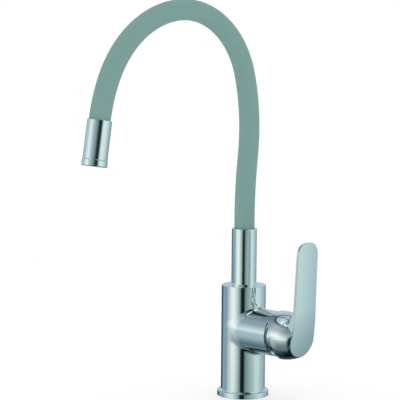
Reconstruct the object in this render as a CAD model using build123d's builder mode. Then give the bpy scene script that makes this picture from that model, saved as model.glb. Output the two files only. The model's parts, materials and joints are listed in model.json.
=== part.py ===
from build123d import *
import os
from math import acos, cos, degrees, radians, sin, sqrt, tan

# Single-lever kitchen mixer tap with a flexible hose spout.
# Millimetres, +Z up. The origin is the centre of the base ring's underside, on the deck.
# The cartridge barrel and the lever point along +X, and the spout arches over towards -Y.

os.makedirs("parts", exist_ok=True)

# Clearances
running_gap = 0.1
fixed_gap = 0.05
slide_gap = 0.3
cut_margin = 1.0

# Base ring and its seal
base_radius = 26.7
base_height = 6.0
base_round = 1.3
base_bore = 19.5
seal_outer = 24.4
seal_inner = 20.8
seal_thickness = 2.0

# Body casting: upright body, side barrel, and the open well that the supply hoses come up
body_radius = 23.0
body_top = 116.0
body_edge = 0.8
spigot_bottom = 1.0
well_radius = 17.0
well_top = 40.0
barrel_radius = body_radius
barrel_height = 70.5
barrel_face = 51.5
mouth_edge = 0.5

# Supply ports and waterways
port_radius = 4.5
port_depth = 12.0
port_back = 3.0
port_spread = 8.0
inlet_radius = 3.2
inlet_drop = 6.0
outlet_radius = 4.0
outlet_rise = 9.0

# Deck fixing
stud_radius = 4.0
stud_forward = 11.0
stud_engagement = 10.0
stud_reach = 70.0
stud_chamfer = 0.8
deck_thickness = 30.0
clamp_radius = 24.0
clamp_slot_width = 27.0
clamp_slot_end = 4.0
clamp_gasket_thickness = 2.5
clamp_plate_thickness = 3.0
clamp_hole_gap = 0.5
clamp_nut_flats = 13.0
clamp_nut_height = 20.0

# Cartridge, measured along the barrel from its seat in the casting
seat_distance = 13.0
cartridge_radius = 17.4
cartridge_base_length = 6.0
fixed_disc_radius = 15.2
fixed_disc_thickness = 4.0
moving_disc_radius = 11.4
moving_disc_thickness = 3.5
mixing_pocket_radius = 8.6
mixing_pocket_depth = 2.2
carrier_radius = 11.6
carrier_thickness = 5.5
carrier_gap = 0.3
rotor_flange_radius = 15.2
rotor_flange_thickness = 1.8
rotor_radius = 12.6
rotor_end = 49.5
chamber_radius = 15.5
shoulder_distance = 41.0
neck_radius = 13.7
neck_end = 49.0
seal_ring_width = 1.7
seal_ring_thickness = 1.2
seal_ring_bore_gap = 0.3

# Cartridge nut, the domed ring over it, and the seats they take in the barrel
nut_thread_radius = 18.3
nut_length = 6.0
nut_flats = 31.0
nut_head_length = 3.5
dome_radius = 20.4
dome_wall = 1.5
dome_end = 60.0

# Lever pivot and spindle
pivot_distance = 46.0
lift_angle = 25.0
pin_radius = 2.0
spindle_side = 8.0
spindle_end = 78.0
eye_radius = 5.0
arm_radius = 2.2
ball_radius = 2.6
arm_length = 15.5
rotor_slot_half_height = 10.2

# Handle: hub over the dome, and the upright paddle that grows out of it
hub_radius = 24.6
hub_start = 52.5
hub_shoulder = 58.5
hub_crown_radius = 50.0
hub_taper = 24.0
cavity_gap = 0.6
rim_arc_radius = 40.0
rim_arc_distance = 22.0
rim_arc_drop = 10.0
paddle_height = 97.6
paddle_top_distance = 90.4
paddle_bend_height = 28.0
paddle_bend_distance = 87.3
paddle_tip_distance = 78.2
paddle_thickness = 3.2
paddle_foot_inset = 0.6
paddle_flare_height = 38.0
paddle_half_width_low = 15.4
paddle_half_width_high = 14.3
paddle_corner = 12.0
face_edge = 1.3
face_tilt_limit = 0.8
paddle_root_round = 9.0
grub_lead = 3.0
grub_radius = 2.5
grub_length = 8.0
grub_socket_radius = 1.25
grub_socket_depth = 2.7
plug_radius = 3.2
plug_length = 2.5
plug_sink = 2.8

# Spout column and the nipple that it swivels on
column_radius = 13.0
column_rise = 59.0
column_edge = 0.6
socket_radius = 11.0
socket_depth = 22.0
washer_outer = 12.8
washer_inner = 11.3
washer_thickness = 1.2
washer_stand = 0.3
nipple_floor_gap = 1.0
nipple_rise = 15.0
nipple_bore = 5.0
screw_groove_drop = 15.0
screw_groove_width = 5.6
screw_groove_depth = 2.4
screw_radius = 2.5
screw_head_sink = 0.8
screw_tip_gap = 0.6
screw_socket_radius = 1.25
screw_socket_depth = 5.0
o_ring_drops = (9.6, 5.8)
o_ring_wire = 0.95
o_ring_side_gap = 0.25
bush_drop = 2.4
bush_length = 2.2
bush_thickness = 1.6

# Hose: silicone sleeve, shape-holding core and water tube, along one route of tangent arcs
sleeve_radius = 10.5
sleeve_bore = 8.0
sleeve_insert = 12.0
core_radius = 7.8
core_bore = 5.2
tube_radius = 5.0
tube_bore = 3.5
ferrule_length = 19.0
column_lead = 9.0
spout_turns = (-7.0, 22.0, 80.0, 60.0, 16.0)
spout_radii = (550.0, 216.0, 88.6, 111.3, 155.0)
ferrule_flange = 10.4
ferrule_flange_thickness = 3.0
ferrule_stem = 7.6

# Spray head, measured along its own axis from its upper rim
head_radius = 11.9
head_length = 38.0
head_edge = 0.6
head_pocket = 9.0
head_pocket_gap = 0.2
head_core_end = 14.0
head_web_end = 26.0
head_chamber = 10.9
head_flange_thickness = 3.0
head_gasket_thickness = 2.0
collar_radius = 12.3
collar_length = 6.3
collar_edge = 0.5
insert_radius = 9.6
insert_recess = 0.8
lip_width = 0.9
cell_flats = 2.2
cell_pitch = 2.8
cell_rows = 5

# Working planes and axes
barrel_axis = Axis((0, 0, barrel_height), (1, 0, 0))
barrel_side = Plane(origin=(0, 0, barrel_height), x_dir=(1, 0, 0), z_dir=(0, -1, 0))


def across_barrel(distance):
    """Plane square to the barrel: local x along +Y, local y up."""
    return Plane(origin=(distance, 0, barrel_height), x_dir=(0, 1, 0), z_dir=(1, 0, 0))


def finish(piece, name):
    """Name a finished piece and write it to its own file."""
    piece.part.label = name
    export_step(piece.part, f"parts/{name}.step")


# Sizes worked out from the ones above
stud_top = well_top + stud_engagement
clamp_top = -deck_thickness
clamp_plate_top = clamp_top - clamp_gasket_thickness
clamp_nut_top = clamp_plate_top - clamp_plate_thickness
fixed_disc_back = seat_distance + cartridge_base_length
fixed_disc_face = fixed_disc_back + fixed_disc_thickness
carrier_back = fixed_disc_face + moving_disc_thickness
carrier_front = carrier_back + carrier_thickness
flange_back = carrier_front + carrier_gap
flange_front = flange_back + rotor_flange_thickness
chamber_end = flange_front + carrier_gap
rotor_bore = rotor_radius + running_gap
thread_bore_start = shoulder_distance - carrier_gap
thread_bore_radius = nut_thread_radius + fixed_gap
nut_start = shoulder_distance
dome_start = nut_start + nut_length
dome_skirt_radius = sqrt(dome_radius**2 - (barrel_face - pivot_distance) ** 2)
dome_inner_radius = dome_radius - dome_wall
ball_distance = pivot_distance - arm_length
disc_rest_drop = arm_length * sin(radians(lift_angle)) / 2
slot_half_width = spindle_side / 2 + slide_gap
cavity_radius = dome_radius + cavity_gap
cavity_sweep = degrees(acos((hub_start - pivot_distance) / cavity_radius))
nipple_radius = socket_radius - running_gap
column_bottom = body_top + washer_stand
column_top = body_top + column_rise
socket_floor = body_top - socket_depth
nipple_bottom = socket_floor + nipple_floor_gap
nipple_top = body_top + nipple_rise
screw_groove_height = body_top - screw_groove_drop
o_ring_heights = [body_top - drop for drop in o_ring_drops]
bush_height = body_top - bush_drop
core_foot = nipple_top + ferrule_length
column_bore = sleeve_radius + head_pocket_gap
paddle_back_distance = paddle_bend_distance - paddle_thickness
grub_distance = pivot_distance + cavity_radius + grub_lead
aerator_start = head_web_end + head_flange_thickness + head_gasket_thickness

# Base ring and seal
with BuildPart() as base_ring:
    with BuildSketch():
        Circle(base_radius)
        Circle(base_bore, mode=Mode.SUBTRACT)
    extrude(amount=base_height)
    with BuildSketch():
        Circle(seal_outer + fixed_gap)
        Circle(seal_inner - fixed_gap, mode=Mode.SUBTRACT)
    extrude(amount=seal_thickness, mode=Mode.SUBTRACT)
    upper_rim = base_ring.edges().filter_by(GeomType.CIRCLE).group_by(Axis.Z)[-1].sort_by(SortBy.RADIUS)[-1]
    fillet(upper_rim, radius=base_round)
finish(base_ring, "base_ring")

with BuildPart() as base_seal:
    with BuildSketch():
        Circle(seal_outer)
        Circle(seal_inner, mode=Mode.SUBTRACT)
    extrude(amount=seal_thickness)
finish(base_seal, "base_seal")

# Body casting
port_places = [(-port_back, side * port_spread) for side in (-1, 1)]
seat_inlets = [(side * port_spread, -inlet_drop) for side in (-1, 1)]
with BuildPart() as body_casting:
    with BuildSketch(Plane.XY.offset(base_height)):
        Circle(body_radius)
    extrude(amount=body_top - base_height)
    with BuildSketch(across_barrel(0)):
        Circle(barrel_radius)
    extrude(amount=barrel_face)
    mouth = body_casting.edges().filter_by(GeomType.CIRCLE).group_by(Axis.X)[-1]
    chamfer(mouth, length=mouth_edge)
    crown = body_casting.edges().filter_by(GeomType.CIRCLE).group_by(Axis.Z)[-1]
    fillet(crown, radius=body_edge)
    with BuildSketch(Plane.XY.offset(spigot_bottom)):
        Circle(base_bore - fixed_gap)
    extrude(amount=base_height - spigot_bottom)
    with BuildSketch(Plane.XY.offset(spigot_bottom)):
        Circle(well_radius)
    extrude(amount=well_top - spigot_bottom, mode=Mode.SUBTRACT)
    # Tapped holes in the roof of the well: two supply ports and the stud
    with BuildSketch(Plane.XY.offset(well_top)):
        with Locations(*port_places):
            Circle(port_radius)
    extrude(amount=port_depth, mode=Mode.SUBTRACT)
    with BuildSketch(Plane.XY.offset(well_top)):
        with Locations((stud_forward, 0)):
            Circle(stud_radius + fixed_gap)
    extrude(amount=stud_engagement, mode=Mode.SUBTRACT)
    # Supply ways: up from each port, then forward into the cartridge seat
    with BuildSketch(Plane.XY.offset(well_top + port_depth)):
        with Locations(*port_places):
            Circle(inlet_radius)
    extrude(amount=barrel_height - inlet_drop - well_top - port_depth, mode=Mode.SUBTRACT)
    with BuildSketch(across_barrel(-port_back)):
        with Locations(*seat_inlets):
            Circle(inlet_radius)
    extrude(amount=seat_distance + port_back, mode=Mode.SUBTRACT)
    # Mixed-water way: back from the seat, then up into the spout socket
    with BuildSketch(across_barrel(0)):
        with Locations((0, outlet_rise)):
            Circle(outlet_radius)
    extrude(amount=seat_distance, mode=Mode.SUBTRACT)
    with BuildSketch(Plane.XY.offset(barrel_height + outlet_rise)):
        Circle(outlet_radius)
    extrude(amount=socket_floor - barrel_height - outlet_rise, mode=Mode.SUBTRACT)
    with BuildSketch(Plane.XY.offset(socket_floor)):
        Circle(socket_radius)
    extrude(amount=body_top - socket_floor, mode=Mode.SUBTRACT)
    with BuildSketch(Plane.XY.offset(body_top + washer_stand - washer_thickness)):
        Circle(washer_outer + fixed_gap)
    extrude(amount=washer_thickness, mode=Mode.SUBTRACT)
    # Cartridge chamber, nut thread and the domed ring's seat, bored from the mouth
    with BuildSketch(barrel_side):
        Polygon(
            (seat_distance, 0),
            (seat_distance, cartridge_radius + running_gap),
            (thread_bore_start, cartridge_radius + running_gap),
            (thread_bore_start, thread_bore_radius),
            (dome_start, thread_bore_radius),
            (dome_start, dome_skirt_radius + fixed_gap),
            (barrel_face, dome_skirt_radius + fixed_gap),
            (barrel_face, 0),
            align=None,
        )
    revolve(axis=barrel_axis, mode=Mode.SUBTRACT)
    # Cross hole for the screw that keeps the spout in its socket
    with BuildSketch(Plane(origin=(-body_radius, 0, screw_groove_height), x_dir=(0, 1, 0), z_dir=(1, 0, 0))):
        Circle(screw_radius + fixed_gap)
    extrude(amount=body_radius - sqrt(socket_radius**2 - screw_radius**2) + cut_margin, mode=Mode.SUBTRACT)
finish(body_casting, "body_casting")

# Deck fixing: stud, gasket, horseshoe plate and nut
with BuildPart() as fixing_stud:
    with BuildSketch(Plane.XY.offset(-stud_reach)):
        with Locations((stud_forward, 0)):
            Circle(stud_radius)
    extrude(amount=stud_reach + stud_top)
    chamfer(fixing_stud.edges().filter_by(GeomType.CIRCLE), length=stud_chamfer)
finish(fixing_stud, "fixing_stud")

for name, top, thickness in (
    ("clamp_gasket", clamp_top, clamp_gasket_thickness),
    ("clamp_plate", clamp_plate_top, clamp_plate_thickness),
):
    with BuildPart() as clamp_piece:
        with BuildSketch(Plane.XY.offset(top - thickness)):
            Circle(clamp_radius)
            with Locations((clamp_slot_end, 0)):
                Rectangle(2 * clamp_radius, clamp_slot_width, align=(Align.MAX, Align.CENTER), mode=Mode.SUBTRACT)
            with Locations((stud_forward, 0)):
                Circle(stud_radius + clamp_hole_gap, mode=Mode.SUBTRACT)
        extrude(amount=thickness)
    finish(clamp_piece, name)

with BuildPart() as clamp_nut:
    with BuildSketch(Plane.XY.offset(clamp_nut_top - clamp_nut_height)):
        with Locations((stud_forward, 0)):
            RegularPolygon(clamp_nut_flats / 2, 6, major_radius=False)
            Circle(stud_radius + running_gap, mode=Mode.SUBTRACT)
    extrude(amount=clamp_nut_height)
finish(clamp_nut, "clamp_nut")

# Cartridge base with its three ports, and the seal ring round each port
with BuildPart() as cartridge_base:
    with BuildSketch(across_barrel(seat_distance)):
        Circle(cartridge_radius)
        with Locations(*seat_inlets):
            Circle(inlet_radius, mode=Mode.SUBTRACT)
        with Locations((0, outlet_rise)):
            Circle(outlet_radius, mode=Mode.SUBTRACT)
    extrude(amount=cartridge_base_length)
    with BuildSketch(across_barrel(seat_distance)):
        with Locations(*seat_inlets):
            Circle(inlet_radius + seal_ring_bore_gap + seal_ring_width + fixed_gap)
        with Locations((0, outlet_rise)):
            Circle(outlet_radius + seal_ring_bore_gap + seal_ring_width + fixed_gap)
    extrude(amount=seal_ring_thickness, mode=Mode.SUBTRACT)
finish(cartridge_base, "cartridge_base")

with BuildPart() as cartridge_seals:
    with BuildSketch(across_barrel(seat_distance)):
        with Locations(*seat_inlets):
            Circle(inlet_radius + seal_ring_bore_gap + seal_ring_width)
            Circle(inlet_radius + seal_ring_bore_gap, mode=Mode.SUBTRACT)
        with Locations((0, outlet_rise)):
            Circle(outlet_radius + seal_ring_bore_gap + seal_ring_width)
            Circle(outlet_radius + seal_ring_bore_gap, mode=Mode.SUBTRACT)
    extrude(amount=seal_ring_thickness)
finish(cartridge_seals, "cartridge_seals")

# Ceramic discs: the fixed one has the three ports, the moving one a pocket that joins them
with BuildPart() as fixed_disc:
    with BuildSketch(across_barrel(fixed_disc_back)):
        Circle(fixed_disc_radius)
        with Locations(*seat_inlets):
            Circle(inlet_radius, mode=Mode.SUBTRACT)
        with Locations((0, outlet_rise)):
            Circle(outlet_radius, mode=Mode.SUBTRACT)
    extrude(amount=fixed_disc_thickness)
finish(fixed_disc, "fixed_disc")

with BuildPart() as moving_disc:
    with BuildSketch(across_barrel(fixed_disc_face)):
        with Locations((0, -disc_rest_drop)):
            Circle(moving_disc_radius)
    extrude(amount=moving_disc_thickness)
    with BuildSketch(across_barrel(fixed_disc_face)):
        with Locations((0, -disc_rest_drop)):
            Circle(mixing_pocket_radius)
    extrude(amount=mixing_pocket_depth, mode=Mode.SUBTRACT)
finish(moving_disc, "moving_disc")

with BuildPart() as disc_carrier:
    with BuildSketch(across_barrel(carrier_back)):
        with Locations((0, -disc_rest_drop)):
            Circle(carrier_radius)
    extrude(amount=carrier_thickness)
    # Socket that the spindle's ball drives
    with BuildSketch(across_barrel(carrier_front)):
        Circle(ball_radius + slide_gap)
    extrude(amount=-(carrier_front - ball_distance + ball_radius + slide_gap), mode=Mode.SUBTRACT)
finish(disc_carrier, "disc_carrier")

# Rotor: turns in the housing with the lever and carries the pivot pin
with BuildPart() as cartridge_rotor:
    with BuildSketch(barrel_side):
        Polygon(
            (flange_back, 0),
            (flange_back, rotor_flange_radius),
            (flange_front, rotor_flange_radius),
            (flange_front, rotor_radius),
            (rotor_end, rotor_radius),
            (rotor_end, 0),
            align=None,
        )
    revolve(axis=barrel_axis)
    with BuildSketch(across_barrel(flange_back)):
        Rectangle(2 * slot_half_width, 2 * rotor_slot_half_height)
    extrude(amount=rotor_end - flange_back, mode=Mode.SUBTRACT)
    with BuildSketch(barrel_side):
        with Locations((pivot_distance, 0)):
            Circle(pin_radius + fixed_gap)
    extrude(amount=rotor_radius, both=True, mode=Mode.SUBTRACT)
finish(cartridge_rotor, "cartridge_rotor")

with BuildPart() as pivot_pin:
    with BuildSketch(barrel_side):
        with Locations((pivot_distance, 0)):
            Circle(pin_radius)
    extrude(amount=rotor_radius - slide_gap, both=True)
finish(pivot_pin, "pivot_pin")

# Cartridge housing: the shell over the discs, with the neck that the rotor turns in
with BuildPart() as cartridge_housing:
    with BuildSketch(barrel_side):
        Polygon(
            (fixed_disc_back, chamber_radius),
            (fixed_disc_back, cartridge_radius),
            (shoulder_distance, cartridge_radius),
            (shoulder_distance, neck_radius),
            (neck_end, neck_radius),
            (neck_end, rotor_bore),
            (chamber_end, rotor_bore),
            (chamber_end, chamber_radius),
            align=None,
        )
    revolve(axis=barrel_axis)
finish(cartridge_housing, "cartridge_housing")

# Ring nut that holds the cartridge down, with a six-sided head
with BuildPart() as cartridge_nut:
    with BuildSketch(across_barrel(nut_start)):
        Circle(nut_thread_radius)
        Circle(neck_radius + fixed_gap, mode=Mode.SUBTRACT)
    extrude(amount=nut_length)
    with BuildSketch(across_barrel(dome_start)):
        RegularPolygon(nut_flats / 2, 6, major_radius=False)
        Circle(neck_radius + fixed_gap, mode=Mode.SUBTRACT)
    extrude(amount=nut_head_length)
finish(cartridge_nut, "cartridge_nut")

# Domed ring: part of a sphere about the lever's pivot, so the hub rides over it
dome_cut = sqrt(dome_radius**2 - (dome_end - pivot_distance) ** 2)
dome_cut_inner = sqrt(dome_inner_radius**2 - (dome_end - pivot_distance) ** 2)
dome_inner_skirt = sqrt(dome_inner_radius**2 - (barrel_face - pivot_distance) ** 2)
with BuildPart() as dome_ring:
    with BuildSketch(barrel_side):
        with BuildLine():
            skirt_outer = Line((dome_start, dome_skirt_radius), (barrel_face, dome_skirt_radius))
            RadiusArc(skirt_outer @ 1, (dome_end, dome_cut), dome_radius)
            Line((dome_end, dome_cut), (dome_end, dome_cut_inner))
            RadiusArc((dome_end, dome_cut_inner), (barrel_face, dome_inner_skirt), -dome_inner_radius)
            Line((barrel_face, dome_inner_skirt), (dome_start, dome_inner_skirt))
            Line((dome_start, dome_inner_skirt), skirt_outer @ 0)
        make_face()
    revolve(axis=barrel_axis)
finish(dome_ring, "dome_ring")

# Spindle: square end in the handle, eye on the pivot pin, ball in the disc carrier
with BuildPart() as spindle:
    with BuildSketch(across_barrel(pivot_distance)):
        Rectangle(spindle_side, spindle_side)
    extrude(amount=spindle_end - pivot_distance)
    with BuildSketch(barrel_side):
        with Locations((pivot_distance, 0)):
            Circle(eye_radius)
    extrude(amount=spindle_side / 2, both=True)
    with BuildSketch(across_barrel(ball_distance)):
        Circle(arm_radius)
    extrude(amount=arm_length)
    with BuildSketch(barrel_side):
        with BuildLine():
            CenterArc((ball_distance, 0), ball_radius, 0, 180)
            Line((ball_distance - ball_radius, 0), (ball_distance + ball_radius, 0))
        make_face()
    revolve(axis=barrel_axis)
    with BuildSketch(barrel_side):
        with Locations((pivot_distance, 0)):
            Circle(pin_radius + running_gap / 2)
    extrude(amount=spindle_side, both=True, mode=Mode.SUBTRACT)
finish(spindle, "spindle")

# Handle: one casting, a hub that is crowned and then tapers, and runs up into the thin upright paddle
crown_centre_height = hub_radius - hub_crown_radius
crown_end_distance = hub_shoulder + hub_crown_radius * sin(radians(hub_taper))
crown_end_height = crown_centre_height + hub_crown_radius * cos(radians(hub_taper))


def taper_height(distance):
    """Radius of the hub's taper at a distance along the barrel's axis."""
    return crown_end_height - (distance - crown_end_distance) * tan(radians(hub_taper))


# The fairing behind the paddle's root is an arc that touches both the crown and the paddle's back
root_centre_distance = paddle_back_distance - paddle_root_round
root_reach = hub_crown_radius + paddle_root_round
root_centre_height = crown_centre_height + sqrt(root_reach**2 - (root_centre_distance - hub_shoulder) ** 2)
root_share = hub_crown_radius / root_reach
root_foot_distance = hub_shoulder + root_share * (root_centre_distance - hub_shoulder)
root_foot = (root_foot_distance, crown_centre_height + root_share * (root_centre_height - crown_centre_height))
paddle_half_width_foot = taper_height(paddle_back_distance) - paddle_foot_inset
far_forward = 2 * paddle_top_distance
far_aside = 2 * hub_radius

# Everything beyond the handle's front face: a straight lean above, curving back under the hub below
with BuildSketch(barrel_side) as beyond_front:
    with BuildLine():
        lean = Line((paddle_top_distance, paddle_height), (paddle_bend_distance, paddle_bend_height))
        under = TangentArc(lean @ 1, (paddle_tip_distance, -hub_radius), tangent=lean % 1)
        run_out = Line(under @ 1, under @ 1 + hub_radius * (under % 1))
        Polyline(
            run_out @ 1,
            (far_forward, -far_aside),
            (far_forward, paddle_height + cut_margin),
            (paddle_top_distance, paddle_height + cut_margin),
            lean @ 0,
        )
    make_face()

with BuildPart() as paddle:
    # Fairing, turned about the barrel's axis
    with BuildSketch(barrel_side):
        with BuildLine():
            fairing = RadiusArc(root_foot, (paddle_back_distance, root_centre_height), -paddle_root_round)
            Polyline(
                fairing @ 1,
                (paddle_top_distance, root_centre_height),
                (paddle_top_distance, 0),
                (root_foot[0], 0),
                fairing @ 0,
            )
        make_face()
    revolve(axis=barrel_axis)
    # Everything in front of the leaning back
    with BuildSketch(barrel_side):
        Polygon(
            (paddle_back_distance, 0),
            (paddle_back_distance, paddle_bend_height),
            (paddle_top_distance - paddle_thickness, paddle_height + cut_margin),
            (far_forward, paddle_height + cut_margin),
            (far_forward, 0),
            align=None,
        )
    extrude(amount=far_aside, both=True)
    # Keep both only inside the paddle's front outline, which flares towards its foot, and behind its face
    with BuildSketch(across_barrel(hub_shoulder)):
        with BuildLine():
            blade = FilletPolyline(
                (-paddle_half_width_low, paddle_flare_height),
                (-paddle_half_width_high, paddle_height),
                (paddle_half_width_high, paddle_height),
                (paddle_half_width_low, paddle_flare_height),
                radius=paddle_corner,
            )
            right_flare = TangentArc(blade @ 1, (paddle_half_width_foot, 0), tangent=blade % 1)
            left_flare = TangentArc(blade @ 0, (-paddle_half_width_foot, 0), tangent=-(blade % 0))
            Line(left_flare @ 1, right_flare @ 1)
        make_face()
    extrude(amount=far_forward, mode=Mode.INTERSECT)
    extrude(beyond_front.sketch, amount=far_aside, both=True, mode=Mode.SUBTRACT)

with BuildPart() as handle:
    # Hub with its crown and its hollow over the domed ring, turned about the barrel's axis
    with BuildSketch(barrel_side):
        with BuildLine():
            hub_side = Line((hub_start, hub_radius), (hub_shoulder, hub_radius))
            crown_arc = JernArc(hub_side @ 1, (1, 0), hub_crown_radius, -hub_taper)
            taper = Line(crown_arc @ 1, (paddle_top_distance, taper_height(paddle_top_distance)))
            hollow = CenterArc((pivot_distance, 0), cavity_radius, 0, cavity_sweep)
            Polyline(taper @ 1, (paddle_top_distance, 0), hollow @ 0)
            Line(hollow @ 1, hub_side @ 0)
        make_face()
    revolve(axis=barrel_axis)
    extrude(beyond_front.sketch, amount=far_aside, both=True, mode=Mode.SUBTRACT)
    add(paddle.part)
    # Rounded edge all round the front face
    forward = [f for f in handle.faces() if f.normal_at(f.center()).X > face_tilt_limit]
    front = [f for f in forward if f.center().X > root_foot_distance]
    front_rim = ShapeList(e for e in handle.edges() if sum(e in f.edges() for f in front) == 1)
    fillet(front_rim, radius=face_edge)
    # Rim cut back so that the handle can tilt
    with BuildSketch(barrel_side):
        with Locations((rim_arc_distance, -rim_arc_drop)):
            Circle(rim_arc_radius)
    extrude(amount=far_aside, both=True, mode=Mode.SUBTRACT)
    # Square socket for the spindle
    with BuildSketch(across_barrel(pivot_distance)):
        Rectangle(spindle_side + 2 * fixed_gap, spindle_side + 2 * fixed_gap)
    extrude(amount=spindle_end - pivot_distance + fixed_gap, mode=Mode.SUBTRACT)
    # Grub screw hole from below, wider at its mouth for the plug
    with BuildSketch(Plane(origin=(grub_distance, 0, barrel_height - hub_radius))):
        Circle(grub_radius + fixed_gap)
    extrude(amount=hub_radius, mode=Mode.SUBTRACT)
    with BuildSketch(Plane(origin=(grub_distance, 0, barrel_height - hub_radius))):
        Circle(plug_radius + fixed_gap)
    extrude(amount=plug_sink + plug_length, mode=Mode.SUBTRACT)
finish(handle, "handle")

with BuildPart() as grub_screw:
    with BuildSketch(Plane(origin=(grub_distance, 0, barrel_height - spindle_side / 2))):
        Circle(grub_radius)
    extrude(amount=-grub_length)
    with BuildSketch(Plane(origin=(grub_distance, 0, barrel_height - spindle_side / 2 - grub_length))):
        RegularPolygon(grub_socket_radius, 6)
    extrude(amount=grub_socket_depth, mode=Mode.SUBTRACT)
finish(grub_screw, "grub_screw")

with BuildPart() as screw_plug:
    with BuildSketch(Plane(origin=(grub_distance, 0, barrel_height - hub_radius + plug_sink))):
        Circle(plug_radius)
    extrude(amount=plug_length)
finish(screw_plug, "screw_plug")

# Spout column, turned: the nipple sits in its foot and the hose in its mouth
with BuildPart() as spout_column:
    with BuildSketch(Plane.XZ):
        Polygon(
            (nipple_radius + fixed_gap, column_bottom),
            (column_radius, column_bottom),
            (column_radius, column_top),
            (column_bore, column_top),
            (column_bore, nipple_top),
            (nipple_radius + fixed_gap, nipple_top),
            align=None,
        )
    revolve(axis=Axis.Z)
    top_rims = spout_column.edges().filter_by(GeomType.CIRCLE).group_by(Axis.Z)[-1]
    fillet(top_rims.sort_by(SortBy.RADIUS)[-1], radius=column_edge)
    chamfer(top_rims.sort_by(SortBy.RADIUS)[0], length=column_edge / 2)
finish(spout_column, "spout_column")

with BuildPart() as swivel_washer:
    with BuildSketch(Plane.XY.offset(column_bottom - washer_thickness)):
        Circle(washer_outer)
        Circle(washer_inner, mode=Mode.SUBTRACT)
    extrude(amount=washer_thickness)
finish(swivel_washer, "swivel_washer")

# Nipple: grooves for the retaining screw, two O-rings and a glide bush
o_ring_centre = nipple_radius + fixed_gap - o_ring_wire
with BuildPart() as swivel_nipple:
    with BuildSketch(Plane.XY.offset(nipple_bottom)):
        Circle(nipple_radius)
        Circle(nipple_bore, mode=Mode.SUBTRACT)
    extrude(amount=nipple_top - nipple_bottom)
    for height, width, depth in (
        (screw_groove_height, screw_groove_width, screw_groove_depth),
        (o_ring_heights[0], 2 * (o_ring_wire + o_ring_side_gap), 2 * o_ring_wire),
        (o_ring_heights[1], 2 * (o_ring_wire + o_ring_side_gap), 2 * o_ring_wire),
        (bush_height, bush_length + running_gap, bush_thickness),
    ):
        with BuildSketch(Plane.XY.offset(height - width / 2)):
            Circle(nipple_radius + cut_margin)
            Circle(nipple_radius - depth, mode=Mode.SUBTRACT)
        extrude(amount=width, mode=Mode.SUBTRACT)
finish(swivel_nipple, "swivel_nipple")

with BuildPart() as nipple_o_rings:
    for height in o_ring_heights:
        with BuildSketch(Plane.XZ):
            with Locations((o_ring_centre, height)):
                Circle(o_ring_wire)
        revolve(axis=Axis.Z)
finish(nipple_o_rings, "nipple_o_rings")

with BuildPart() as swivel_bush:
    with BuildSketch(Plane.XY.offset(bush_height - bush_length / 2)):
        Circle(nipple_radius + fixed_gap)
        Circle(nipple_radius - bush_thickness + fixed_gap, mode=Mode.SUBTRACT)
    extrude(amount=bush_length)
finish(swivel_bush, "swivel_bush")

# Retaining screw in the back of the body, its tip in the nipple's groove
screw_tip = nipple_radius - screw_groove_depth + screw_tip_gap
with BuildPart() as retaining_screw:
    with BuildSketch(Plane(origin=(-screw_tip, 0, screw_groove_height), x_dir=(0, 1, 0), z_dir=(-1, 0, 0))):
        Circle(screw_radius)
    extrude(amount=body_radius - screw_head_sink - screw_tip)
    with BuildSketch(Plane(origin=(-body_radius, 0, screw_groove_height), x_dir=(0, 1, 0), z_dir=(1, 0, 0))):
        RegularPolygon(screw_socket_radius, 6)
    extrude(amount=screw_socket_depth, mode=Mode.SUBTRACT)
finish(retaining_screw, "retaining_screw")

# Hose route in the plane x = 0: up out of the column, then tangent arcs over to the spray head
with BuildLine(Plane.YZ) as spout_curve:
    stretch = Line((0, column_top), (0, column_top + column_lead))
    for turn, bend_radius in zip(spout_turns, spout_radii):
        stretch = JernArc(stretch @ 1, stretch % 1, bend_radius, turn)
head_origin = spout_curve.line @ 1
head_direction = spout_curve.line % 1


def hose_route(foot, tail):
    """The whole route of one hose layer, from a height in the column to a depth in the head."""
    with BuildLine() as route:
        Line((0, 0, foot), (0, 0, column_top))
        add(spout_curve.line)
        Line(head_origin, head_origin + tail * head_direction)
    return route.line


for name, outer, bore, foot, tail in (
    ("hose_sleeve", sleeve_radius, sleeve_bore, column_top - sleeve_insert, head_pocket - running_gap),
    ("hose_core", core_radius, core_bore, core_foot, head_core_end),
    ("water_tube", tube_radius, tube_bore, core_foot, head_core_end),
):
    with BuildPart() as hose_layer:
        with BuildSketch(Plane.XY.offset(foot)):
            Circle(outer)
            Circle(bore, mode=Mode.SUBTRACT)
        sweep(path=hose_route(foot, tail))
    route_length = sum(edge.length for edge in hose_route(foot, tail).edges())
    print(name, "length", round(route_length, 1), "volume", round(hose_layer.part.volume, 1))
    finish(hose_layer, name)
print("head origin", head_origin, "direction", head_direction)

# Fitting that joins the hose to the nipple
with BuildPart() as hose_ferrule:
    with BuildSketch(Plane.XZ):
        Polygon(
            (tube_bore, nipple_top),
            (ferrule_flange, nipple_top),
            (ferrule_flange, nipple_top + ferrule_flange_thickness),
            (ferrule_stem, nipple_top + ferrule_flange_thickness),
            (ferrule_stem, core_foot),
            (tube_bore, core_foot),
            align=None,
        )
    revolve(axis=Axis.Z)
finish(hose_ferrule, "hose_ferrule")

# Spray head, turned about its own axis: sketches have the radius across and the depth down the axis
head_axis = Axis(head_origin, head_direction)
head_side = Plane(origin=head_origin, x_dir=(1, 0, 0), z_dir=Vector(1, 0, 0).cross(head_direction))


def across_head(depth):
    """Plane square to the spray head's axis at a depth below its upper rim."""
    return Plane(origin=head_origin + depth * head_direction, x_dir=(1, 0, 0), z_dir=head_direction)


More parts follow.
